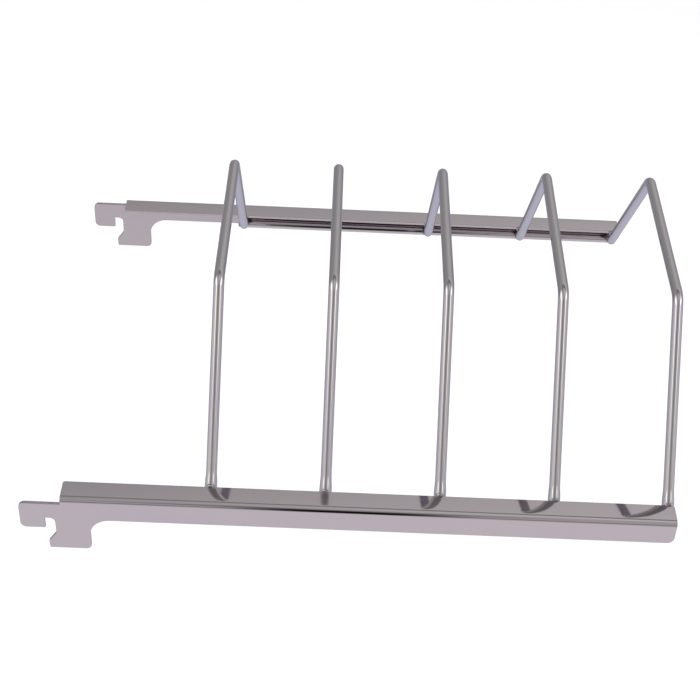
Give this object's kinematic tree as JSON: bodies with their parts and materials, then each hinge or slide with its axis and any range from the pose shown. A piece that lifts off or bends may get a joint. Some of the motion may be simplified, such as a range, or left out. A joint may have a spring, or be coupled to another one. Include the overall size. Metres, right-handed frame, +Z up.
{
  "type": "wall hung wire drying rack",
  "caption": "Welded wire drying rack of raised U shaped bars across two angle brackets that hook into slotted wall uprights.",
  "frame": {"origin": "midway between the two hooks, on the front face of the slotted uprights, at the level of the slot edges that the hooks hang on", "axes": "+X straight out from the wall along the brackets, +Y along the wall towards bracket_right, +Z up"},
  "size_m": [0.3555, 0.286, 0.1289],
  "materials": {
    "polished_sheet": "bright polished steel sheet, 2 mm",
    "polished_wire": "bright polished steel wire, 6 mm",
    "weld_metal": "small weld beads, duller than the steel around them"
  },
  "bodies": {
    "root": {"bracket_left": "polished_sheet", "long_rod_left": "polished_wire", "bracket_right": "polished_sheet", "long_rod_right": "polished_wire", "bar_1": "polished_wire", "flange_weld_1_left": "weld_metal", "rod_weld_1_left": "weld_metal", "flange_weld_1_right": "weld_metal", "rod_weld_1_right": "weld_metal", "bar_2": "polished_wire", "flange_weld_2_left": "weld_metal", "rod_weld_2_left": "weld_metal", "flange_weld_2_right": "weld_metal", "rod_weld_2_right": "weld_metal", "bar_3": "polished_wire", "flange_weld_3_left": "weld_metal", "rod_weld_3_left": "weld_metal", "flange_weld_3_right": "weld_metal", "rod_weld_3_right": "weld_metal", "bar_4": "polished_wire", "flange_weld_4_left": "weld_metal", "rod_weld_4_left": "weld_metal", "flange_weld_4_right": "weld_metal", "rod_weld_4_right": "weld_metal", "bar_5": "polished_wire", "flange_weld_5_left": "weld_metal", "rod_weld_5_left": "weld_metal", "flange_weld_5_right": "weld_metal", "rod_weld_5_right": "weld_metal"}
  },
  "joints": []
}
